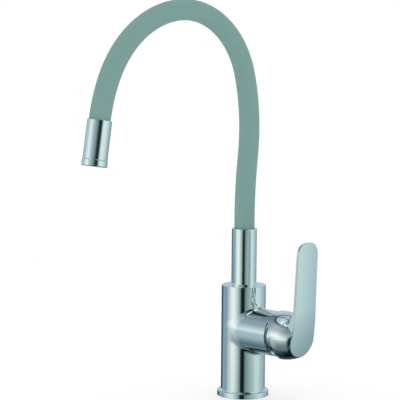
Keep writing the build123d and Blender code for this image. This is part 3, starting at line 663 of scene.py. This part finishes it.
# Where the spray head begins and where it points
HEAD_ORIGIN = (0.0, -198.739, 293.491)
HEAD_DIRECTION = (0.0, -0.156434, -0.987688)

# The domed ring's sphere about the lever's pivot, and where it ends
DOME_OUTER, DOME_INNER = 20.4, 18.9
LEVER_PIVOT = 46.0
DOME_END = 60.0
DOME_STEPS = 14


def dome_profile():
    """The domed ring: a skirt in the barrel's mouth and a part of a sphere about the lever's pivot."""

    def arc(radius, first, last):
        start, end = (np.arccos((reach - LEVER_PIVOT) / radius) for reach in (first, last))
        return [(radius * sin(a), LEVER_PIVOT + radius * cos(a), 0) for a in np.linspace(start, end, DOME_STEPS)]

    outside, inside = arc(DOME_OUTER, BARREL_FACE, DOME_END), arc(DOME_INNER, DOME_END, BARREL_FACE)
    corners = [(inside[-1][0], MOUTH_END, 0.1), (outside[0][0], MOUTH_END, 0.1)] + outside[:-1]
    return rounded(corners + [(*outside[-1][:2], 0.25), (*inside[0][:2], 0.1)] + inside[1:])


def make_turned_pieces(sizes):
    """The five turned chrome pieces, each replacing its solid. Corners are (radius, place on the axis, rounding)."""
    edge = sizes.chrome_edge / MM
    base_ring = [
        (19.5, 0, 0.2), (20.75, 0, 0.1), (20.75, 2, 0.1), (24.45, 2, 0.1), (24.45, 0, 0.1), (26.7, 0, edge),
        (26.7, BODY_FOOT, 1.3), (19.5, BODY_FOOT, 0.2),
    ]
    spout_column = [
        (10.95, COLUMN_FOOT, 0.1), (12.86, COLUMN_FOOT, 0.02), (12.86, COLUMN_LIP, 0.02), (13, COLUMN_LIP, 0.05),
        (13, COLUMN_TOP, 0.6), (10.7, COLUMN_TOP, edge), (10.7, 131, 0.1), (10.95, 131, 0.1),
    ]
    head_sleeve = [
        (10.7, 0, edge), (11.9, 0, 0.6), (11.9, 38, edge), (10.9, 38, 0.1), (10.9, 26, 0.1), (8, 26, 0.1),
        (8, 9, 0.1), (10.7, 9, 0.1),
    ]
    aerator_housing = [
        (9.65, 31, 0.1), (10.85, 31, 0.1), (10.85, 38, 0.1), (12.3, 38, 0.5), (12.3, 44.3, 0.5),
        (8.7, 44.3, edge), (8.7, 43.5, 0.1), (9.65, 43.5, 0.1),
    ]
    table = {
        "base_ring": ("body", rounded(base_ring)),
        "dome_ring": ("body", dome_profile(), (0, 0, BARREL_HEIGHT), (1, 0, 0)),
        "spout_column": ("spout", rounded(spout_column)),
        "head_sleeve": ("head", rounded(head_sleeve), HEAD_ORIGIN, HEAD_DIRECTION),
        "aerator_housing": ("head", rounded(aerator_housing), HEAD_ORIGIN, HEAD_DIRECTION),
    }
    for node, (body, profile, *axis) in table.items():
        piece = make_piece(f"{node}_turned", [turned(profile, *axis)], "chrome")
        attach(piece, body)
        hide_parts(node)


# Hose: three layers along one route of tangent arcs, from the spout's column into the head

# How far the route runs straight above the column, and its arcs after that as (degrees, radius)
COLUMN_LEAD = 9.0
SPOUT_BENDS = ((-7.0, 550.0), (22.0, 216.0), (80.0, 88.6), (60.0, 111.3), (16.0, 155.0))
# Outer radius, inner radius, height where it starts in the column, length in the head, and distance between rings
SLEEVE = (10.5, 8.0, COLUMN_TOP - 12, 8.9, 1.0)
CORE = (7.8, 5.2, 150.0, 14.0, 0.8)
TUBE = (5.0, 3.5, 150.0, 14.0, 2.0)
SLEEVE_STEPS = 96
CORE_STEPS = 48
SLEEVE_END_ROUNDING = 0.4
# Share of the strip's pitch that the groove beside each turn takes up
GROOVE_SHARE = 0.45


def spout_route(foot, tail, pace):
    """Points down the middle of the hose and its headings, from a height in the column to a depth in the head."""
    points, headings = [], []

    def straight(start, heading, run, last=False):
        steps = max(2, int(run / pace))
        for step in range(steps + last):
            along = run * step / steps
            points.append((start[0] - sin(heading) * along, start[1] + cos(heading) * along))
            headings.append(heading)
        return start[0] - sin(heading) * run, start[1] + cos(heading) * run

    spot, heading = straight((0.0, foot), 0.0, COLUMN_TOP + COLUMN_LEAD - foot), 0.0
    for turn, radius in SPOUT_BENDS:
        sweep, reach = radians(turn), radius if turn > 0 else -radius
        steps = max(2, int(radius * abs(sweep) / pace))
        arc = [heading + sweep * step / steps for step in range(steps + 1)]
        places = [(spot[0] + reach * (cos(h) - cos(heading)), spot[1] + reach * (sin(h) - sin(heading))) for h in arc]
        points += places[:-1]
        headings += arc[:-1]
        spot, heading = places[-1], arc[-1]
    straight(spot, heading, tail, last=True)
    return np.array(points), np.array(headings)


def hose_tube(route, outer, inner, steps):
    """A tube along the route. Outer and inner give the radii, as numbers or as rows by columns."""
    points, headings = route
    rows = len(points)
    angles = np.arange(steps) / steps * 2 * pi
    middle = np.stack([np.zeros(rows), points[:, 0], points[:, 1]], -1)[:, None]
    lift = np.stack([np.zeros(rows), np.cos(headings), np.sin(headings)], -1)[:, None]
    ring = np.cos(angles)[None, :, None] * np.array([1.0, 0, 0]) + np.sin(angles)[None, :, None] * lift
    skins = [middle + np.broadcast_to(radius, (rows, steps))[..., None] * ring for radius in (outer, inner)]
    return np.concatenate([skins[0], skins[1][::-1]]), grid_faces(2 * rows, steps, close_rows=True)


def make_hose(sizes):
    """Silicone sleeve, wound strip core and water tube, from the nipple's ferrule to the head's."""
    outer, inner, *run = SLEEVE
    route = spout_route(*run)
    count = len(route[0])
    from_end = np.minimum(np.arange(count), np.arange(count)[::-1])
    lip = SLEEVE_END_ROUNDING * np.exp(-(from_end**2.0))[:, None]
    sleeve = make_piece("hose_sleeve_skin", [hose_tube(route, outer - lip, inner, SLEEVE_STEPS)], "silicone")
    outer, inner, *run = CORE
    route = spout_route(*run)
    along = np.concatenate([[0], np.cumsum(np.linalg.norm(np.diff(route[0], axis=0), axis=1))])
    phase = (along[:, None] / (sizes.strip_pitch / MM) - np.arange(CORE_STEPS)[None, :] / CORE_STEPS) % 1
    groove = np.clip(1 - np.abs(2 * phase - 1) / GROOVE_SHARE, 0, 1) * sizes.strip_groove / MM
    core = make_piece("hose_core_strip", [hose_tube(route, outer - groove, inner, CORE_STEPS)], "steel")
    outer, inner, *run = TUBE
    tube = make_piece("water_tube_skin", [hose_tube(spout_route(*run), outer, inner, CORE_STEPS)], "white_plastic")
    for piece, node in ((sleeve, "hose_sleeve"), (core, "hose_core"), (tube, "water_tube")):
        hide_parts(node)
        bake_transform(piece)


# Deck fixing: the threaded stud and its long nut

STUD_LOW = -70.0
STUD_CHAMFER = 0.8
NUT_TOP = -35.5
NUT_HEIGHT = 20.0
NUT_FLATS = 13.0
NUT_STEPS = 96
# Rings of the nut from each end, through its chamfer
NUT_INSETS = np.array((*np.linspace(0, 0.9, 10), 2.0))
# How far the nut's end face stays inside its flats, and how steeply the chamfer rises from there
NUT_FACE_INSET = 0.05
NUT_CHAMFER_RISE = 0.7
# The nut's bore over the stud's thread, its own thread's depth, and the radius and depth of its countersinks
NUT_BORE = STUD_RADIUS + 0.1
NUT_THREAD_DEPTH = 0.6
NUT_MOUTH, NUT_MOUTH_DEPTH = 4.8, 0.6


def make_deck_fixing(sizes):
    """A stud with a real thread and a six-sided nut with chamfered corners and a tapped bore."""
    pitch, depth = sizes.stud_pitch / MM, sizes.thread_depth / MM
    top = WELL_TOP + STUD_ENGAGEMENT
    points, faces = threaded(STUD_RADIUS, -depth, pitch, STUD_LOW, top, centre=STUD_PLACE)
    offset = points[..., :2] - STUD_PLACE
    reach = np.linalg.norm(offset, axis=-1, keepdims=True)
    from_end = np.minimum(points[..., 2:] - STUD_LOW, top - points[..., 2:])
    points[..., :2] = STUD_PLACE + offset / reach * np.minimum(reach, STUD_RADIUS - STUD_CHAMFER + from_end)
    stud = make_piece("fixing_stud_threaded", [(points, faces), disc_cap(points[0]), disc_cap(points[-1])], "brass")
    angles = np.arange(NUT_STEPS) / NUT_STEPS * 2 * pi
    flat = NUT_FLATS / 2
    hexagon = flat / np.cos(angles % (pi / 3) - pi / 6)
    heights = np.concatenate([NUT_INSETS, NUT_HEIGHT - NUT_INSETS[::-1]])
    from_end = np.minimum(heights, NUT_HEIGHT - heights)[:, None]
    chamfer = flat - NUT_FACE_INSET + from_end * sizes.nut_chamfer / MM / NUT_CHAMFER_RISE
    reach = np.minimum(hexagon[None], chamfer)
    low = NUT_TOP - NUT_HEIGHT
    outside = wall_points(STUD_PLACE, reach, angles, heights + low)
    ends = (NUT_TOP - NUT_MOUTH_DEPTH, low + NUT_MOUTH_DEPTH)
    tapped = threaded(NUT_BORE, NUT_THREAD_DEPTH, pitch, *ends, NUT_STEPS, STUD_PLACE)
    upper = bore([(NUT_MOUTH, NUT_TOP), (NUT_BORE, ends[0])], STUD_PLACE, NUT_STEPS)
    lower = bore([(NUT_BORE, ends[1]), (NUT_MOUTH, low)], STUD_PLACE, NUT_STEPS)
    rims = (outside[-1], upper[0][0]), (outside[0], lower[0][-1])
    lids = [(np.stack(rim), grid_faces(2, NUT_STEPS)) for rim in rims]
    parts = [(outside, grid_faces(len(heights), NUT_STEPS)), tapped, upper, lower, *lids]
    nut = make_piece("clamp_nut_tapped", parts, "brass")
    for piece, body, node in ((stud, "body", "fixing_stud"), (nut, "clamp", "clamp_nut")):
        # A worktop lies between them and the chrome, so the chrome doesn't mirror them
        piece.visible_glossy = False
        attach(piece, body)
        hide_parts(node)


def dress_solids():
    """Give the solids that stay their finishes."""
    slots = {part["node"]: part["material_slot"] for part in frame["record"]["subparts"]}
    for name, node in frame["nodes"].items():
        node.data.materials.clear()
        node.data.materials.append(FINISHES[slots[name]])


# Stage: camera, light tent and floor

# Direction round the tent from the camera, in degrees, and the tone there: below the horizon and above it
TENT_LOW = (
    (-180, "#5C6B78"), (-165, "#3E5060"), (-150, "#2E4050"), (-143, "#40556A"), (-135, "#5F7688"), (-126, "#8AA6B6"),
    (-108, "#7B99A5"), (-96, "#8DA8B0"), (-88, "#A3BABE"), (-78, "#BFD3D2"), (-62, "#E0F0EB"), (-48, "#DFEFEA"),
    (-20, "#869C9E"), (-12, "#182829"), (3, "#0C1A1A"), (9, "#6A8080"), (24, "#88A2A1"), (45, "#A3BBBA"),
    (70, "#C7DCDA"), (86, "#C2DADA"), (96, "#B6CED1"), (108, "#A3BFC5"), (135, "#98ACB4"), (152, "#76858D"),
    (170, "#66747F"),
)
TENT_HIGH = (
    (-180, "#9FB2BE"), (-130, "#B2C9D4"), (-112, "#B6CFD8"), (-98, "#C4DBE0"), (-87, "#DCF0F2"), (-76, "#FFFFFF"),
    (-62, "#F4FFFF"), (-46, "#C8DCDE"), (-25, "#9AB4BA"), (-8, "#7F969A"), (4, "#4B545B"), (16, "#1C262C"),
    (28, "#141E26"), (38, "#8FA6A8"), (50, "#E6F4F4"), (85, "#E6F2F2"), (110, "#C0CFD6"), (150, "#A4B4BE"),
)
# Height in the tent, in degrees over the horizon, and how much of that tone is left: in front and at the left
TENT_FRONT = (
    (-90, 0.03), (-70, 0.06), (-62, 0.2), (-51, 0.24), (-39, 0.28), (-33, 0.37), (-21, 0.52), (-15, 0.72), (-10, 1.0),
    (3, 0.96), (9, 0.85), (15, 0.7), (27, 0.48), (47, 0.42), (50, 0.1), (52, 0.1), (55, 0.8), (66, 1.0), (90, 1.0),
)
TENT_LEFT = (
    (-90, 0.03), (-70, 0.06), (-62, 0.2), (-51, 0.35), (-45, 0.47), (-39, 0.68), (-33, 0.8), (-27, 0.92), (-21, 1.0),
    (3, 0.9), (9, 0.8), (15, 0.68), (27, 0.5), (41, 0.5), (47, 0.4), (50, 0.1), (52, 0.1), (55, 0.8), (66, 1.0),
    (90, 1.0),
)
# How much of the left's height tones holds at each direction
TENT_SIDES = ((-180, 1.0), (-86, 1.0), (-70, 0.0), (60, 0.0), (80, 0.5), (180, 0.5))
BACKDROP = "#AFC2CD"
SOFT_LIGHT = "#F4F8F8"
# Powers that make a darker tone of the tent a cooler one
COOL_SHADE = (1.2, 1.07, 0.98)
# Height over the horizon, as the sine of its angle, where the lower tones go over into the upper ones
HORIZON = (-0.16, 0.11)
# Where the backdrop behind the tap sets in: away from the camera, and upwards
BACKDROP_BEHIND = (0.45, 0.85)
BACKDROP_UP = (-0.02, 0.12)

# The camera's sensor, in millimetres
SENSOR_WIDTH = 36.0
# Half the floor's width, and the distances between which it fades, in metres
FLOOR_REACH = 1.2
FLOOR_FADE = (0.7, 1.1)
# What the floor sends back, and its own light, which leaves only a faint shadow
FLOOR_CARD = {"Color": (0.45, 0.45, 0.45, 1)}
FLOOR_GLOW = {"Color": (1.0, 0.98, 0.98, 1), "Strength": 0.58}


def stops_of(table, span):
    """A table of degrees and tones as the stops of a colour ramp over that span."""
    tones = [(*[tone**c for c in COOL_SHADE], 1.0) if isinstance(tone, float) else colour(tone) for _, tone in table]
    return [(degrees / span + 0.5, tone) for (degrees, _), tone in zip(table, tones)]


def ramp(tree, table, span, place):
    """A colour ramp of a table of degrees and tones, looked up by a place from 0 to 1."""
    return add_node(tree, "ShaderNodeValToRGB", {"stops": stops_of(table, span)}, {"Fac": place}).outputs[0]


def make_world(studio):
    """A round light tent: a bright panel left of the camera, a black gap, a pale panel right and a backdrop."""
    world = bpy.data.worlds.new("light_tent")
    bpy.context.scene.world = world
    world.use_nodes = True
    tree = world.node_tree
    tree.nodes.clear()
    direction = add_node(tree, "ShaderNodeTexCoord").outputs["Generated"]
    turn = {"rotation_type": "Z_AXIS", "Angle": -studio.azimuth}
    turned_to_camera = add_node(tree, "ShaderNodeVectorRotate", turn, {"Vector": direction})
    parts = add_node(tree, "ShaderNodeSeparateXYZ", None, {"Vector": turned_to_camera.outputs["Vector"]})
    sideways, away, up = parts.outputs
    around = maths(tree, "ARCTAN2", sideways, maths(tree, "MULTIPLY", away, -1.0))
    around = maths(tree, "MULTIPLY_ADD", around, 0.5 / pi, 0.5)
    height = maths(tree, "MULTIPLY_ADD", maths(tree, "ARCSINE", up), 1 / pi, 0.5)
    low, high, sides = (ramp(tree, table, 360, around) for table in (TENT_LOW, TENT_HIGH, TENT_SIDES))
    front, left = (ramp(tree, table, 180, height) for table in (TENT_FRONT, TENT_LEFT))
    wall = mix(tree, soft_step(tree, HORIZON, up), low, high)
    walls = mix(tree, 1.0, wall, mix(tree, sides, front, left), "MULTIPLY")
    glow = maths(tree, "MULTIPLY", soft_step(tree, BACKDROP_BEHIND, away), soft_step(tree, BACKDROP_UP, up))
    seen = mix(tree, glow, walls, colour(BACKDROP))
    tent = add_node(tree, "ShaderNodeBackground", {"Strength": studio.tent_strength}, {"Color": seen})
    soft = add_node(tree, "ShaderNodeBackground", {"Color": colour(SOFT_LIGHT), "Strength": studio.soft_strength})
    white = add_node(tree, "ShaderNodeBackground", {"Color": (1, 1, 1, 1), "Strength": 1.0})
    path = add_node(tree, "ShaderNodeLightPath")
    lights = {0: path.outputs["Is Glossy Ray"], 1: soft.outputs[0], 2: tent.outputs[0]}
    metal = add_node(tree, "ShaderNodeMixShader", None, lights)
    background = {0: path.outputs["Is Camera Ray"], 1: metal.outputs[0], 2: white.outputs[0]}
    shader = add_node(tree, "ShaderNodeMixShader", None, background)
    add_node(tree, "ShaderNodeOutputWorld", None, {"Surface": shader.outputs[0]})


def make_camera(studio):
    """The camera at the photograph's viewing angle."""
    camera = bpy.data.objects.new("camera", bpy.data.cameras.new("camera"))
    bpy.context.scene.collection.objects.link(camera)
    bpy.context.scene.camera = camera
    camera.data.sensor_width = SENSOR_WIDTH
    camera.data.lens = SENSOR_WIDTH / 2 / tan(studio.field / 2)
    camera.data.clip_start = 0.05
    camera.data.clip_end = 50
    turn = studio.azimuth
    place = Matrix.Translation((studio.distance * sin(turn), -studio.distance * cos(turn), studio.height))
    aim = Matrix.Rotation(turn + studio.yaw, 4, "Z") @ Matrix.Rotation(pi / 2 - studio.pitch, 4, "X")
    camera.matrix_world = place @ aim @ Matrix.Rotation(studio.roll, 4, "Z")


def make_floor():
    """A white floor that keeps the tap's shadow, fades into the white background and doesn't show in the metal."""
    reach = FLOOR_REACH
    mesh = bpy.data.meshes.new("studio_floor")
    corners = [(-reach, -reach, 0), (reach, -reach, 0), (reach, reach, 0), (-reach, reach, 0)]
    mesh.from_pydata(corners, [], [(0, 1, 2, 3)])
    floor = bpy.data.objects.new("studio_floor", mesh)
    bpy.context.scene.collection.objects.link(floor)
    material, tree = new_material("white_studio_card")
    place = add_node(tree, "ShaderNodeTexCoord").outputs["Object"]
    far = add_node(tree, "ShaderNodeVectorMath", {"operation": "LENGTH"}, {0: place}).outputs["Value"]
    mirrored = add_node(tree, "ShaderNodeLightPath").outputs["Is Glossy Ray"]
    below = add_node(tree, "ShaderNodeNewGeometry").outputs["Backfacing"]
    away = maths(tree, "MAXIMUM", maths(tree, "MAXIMUM", soft_step(tree, FLOOR_FADE, far), mirrored), below)
    lit = add_node(tree, "ShaderNodeBsdfDiffuse", FLOOR_CARD)
    own = add_node(tree, "ShaderNodeEmission", FLOOR_GLOW)
    card = add_node(tree, "ShaderNodeAddShader", None, {0: lit.outputs[0], 1: own.outputs[0]})
    clear = add_node(tree, "ShaderNodeBsdfTransparent")
    shaders = {0: away, 1: card.outputs[0], 2: clear.outputs[0]}
    shader = add_node(tree, "ShaderNodeMixShader", None, shaders)
    add_node(tree, "ShaderNodeOutputMaterial", None, {"Surface": shader.outputs[0]})
    mesh.materials.append(material)


# Operators: one for each piece or group of like pieces, and one for the stage


class MIXER_TAP_OT_finishes(bpy.types.Operator):
    """Make every finish and give the solids theirs"""

    bl_idname = "mixer_tap.finishes"
    bl_label = "Finishes"

    def execute(self, context):
        FINISHES.update(make_finishes(context.scene.mixer_tap_finishes))
        dress_solids()
        return {"FINISHED"}


class MIXER_TAP_OT_casting(bpy.types.Operator):
    """Make the body casting with its barrel blended in"""

    bl_idname = "mixer_tap.casting"
    bl_label = "Body casting"

    def execute(self, context):
        make_casting(context.scene.mixer_tap_sizes)
        return {"FINISHED"}


class MIXER_TAP_OT_handle(bpy.types.Operator):
    """Make the handle with its crowned face"""

    bl_idname = "mixer_tap.handle"
    bl_label = "Handle"

    def execute(self, context):
        make_handle(context.scene.mixer_tap_sizes)
        return {"FINISHED"}


class MIXER_TAP_OT_turned_pieces(bpy.types.Operator):
    """Make the turned chrome pieces"""

    bl_idname = "mixer_tap.turned_pieces"
    bl_label = "Turned chrome pieces"

    def execute(self, context):
        make_turned_pieces(context.scene.mixer_tap_sizes)
        return {"FINISHED"}


class MIXER_TAP_OT_hose(bpy.types.Operator):
    """Make the hose's sleeve, core and water tube"""

    bl_idname = "mixer_tap.hose"
    bl_label = "Hose"

    def execute(self, context):
        make_hose(context.scene.mixer_tap_sizes)
        return {"FINISHED"}


class MIXER_TAP_OT_deck_fixing(bpy.types.Operator):
    """Make the threaded stud and its nut"""

    bl_idname = "mixer_tap.deck_fixing"
    bl_label = "Deck fixing"

    def execute(self, context):
        make_deck_fixing(context.scene.mixer_tap_sizes)
        return {"FINISHED"}


class MIXER_TAP_OT_stage(bpy.types.Operator):
    """Set up the camera, the light tent and the floor"""

    bl_idname = "mixer_tap.stage"
    bl_label = "Stage"

    def execute(self, context):
        studio = context.scene.mixer_tap_studio
        make_camera(studio)
        make_world(studio)
        make_floor()
        context.scene.view_settings.view_transform = "Standard"
        return {"FINISHED"}


class MIXER_TAP_PT_panel(bpy.types.Panel):
    """The tap's pieces and settings in the 3D view's sidebar"""

    bl_idname = "MIXER_TAP_PT_panel"
    bl_label = "Kitchen mixer tap"
    bl_space_type = "VIEW_3D"
    bl_region_type = "UI"
    bl_category = "Mixer Tap"

    def draw(self, context):
        for operator in OPERATORS:
            self.layout.operator(operator.bl_idname)
        for group in GROUPS:
            settings = getattr(context.scene, group)
            column = self.layout.column()
            for name in settings.bl_rna.properties.keys():
                if name not in ("rna_type", "name"):
                    column.prop(settings, name)


FINISHES = {}
OPERATORS = (
    MIXER_TAP_OT_finishes,
    MIXER_TAP_OT_casting,
    MIXER_TAP_OT_handle,
    MIXER_TAP_OT_turned_pieces,
    MIXER_TAP_OT_hose,
    MIXER_TAP_OT_deck_fixing,
    MIXER_TAP_OT_stage,
)
GROUPS = {"mixer_tap_sizes": TapSizes, "mixer_tap_finishes": TapFinishes, "mixer_tap_studio": TapStudio}


def register():
    """Register the classes and hang the settings on the scene."""
    for group in (*GROUPS.values(), *OPERATORS, MIXER_TAP_PT_panel):
        bpy.utils.register_class(group)
    for name, group in GROUPS.items():
        setattr(bpy.types.Scene, name, bpy.props.PointerProperty(type=group))


def unregister():
    """Take the settings off the scene and unregister the classes."""
    for name in GROUPS:
        delattr(bpy.types.Scene, name)
    for group in reversed((*GROUPS.values(), *OPERATORS, MIXER_TAP_PT_panel)):
        bpy.utils.unregister_class(group)


def main():
    """Make every piece and the stage."""
    register()
    bpy.ops.mixer_tap.finishes()
    bpy.ops.mixer_tap.casting()
    bpy.ops.mixer_tap.handle()
    bpy.ops.mixer_tap.turned_pieces()
    bpy.ops.mixer_tap.hose()
    bpy.ops.mixer_tap.deck_fixing()
    bpy.ops.mixer_tap.stage()


if __name__ == "__main__":
    main()
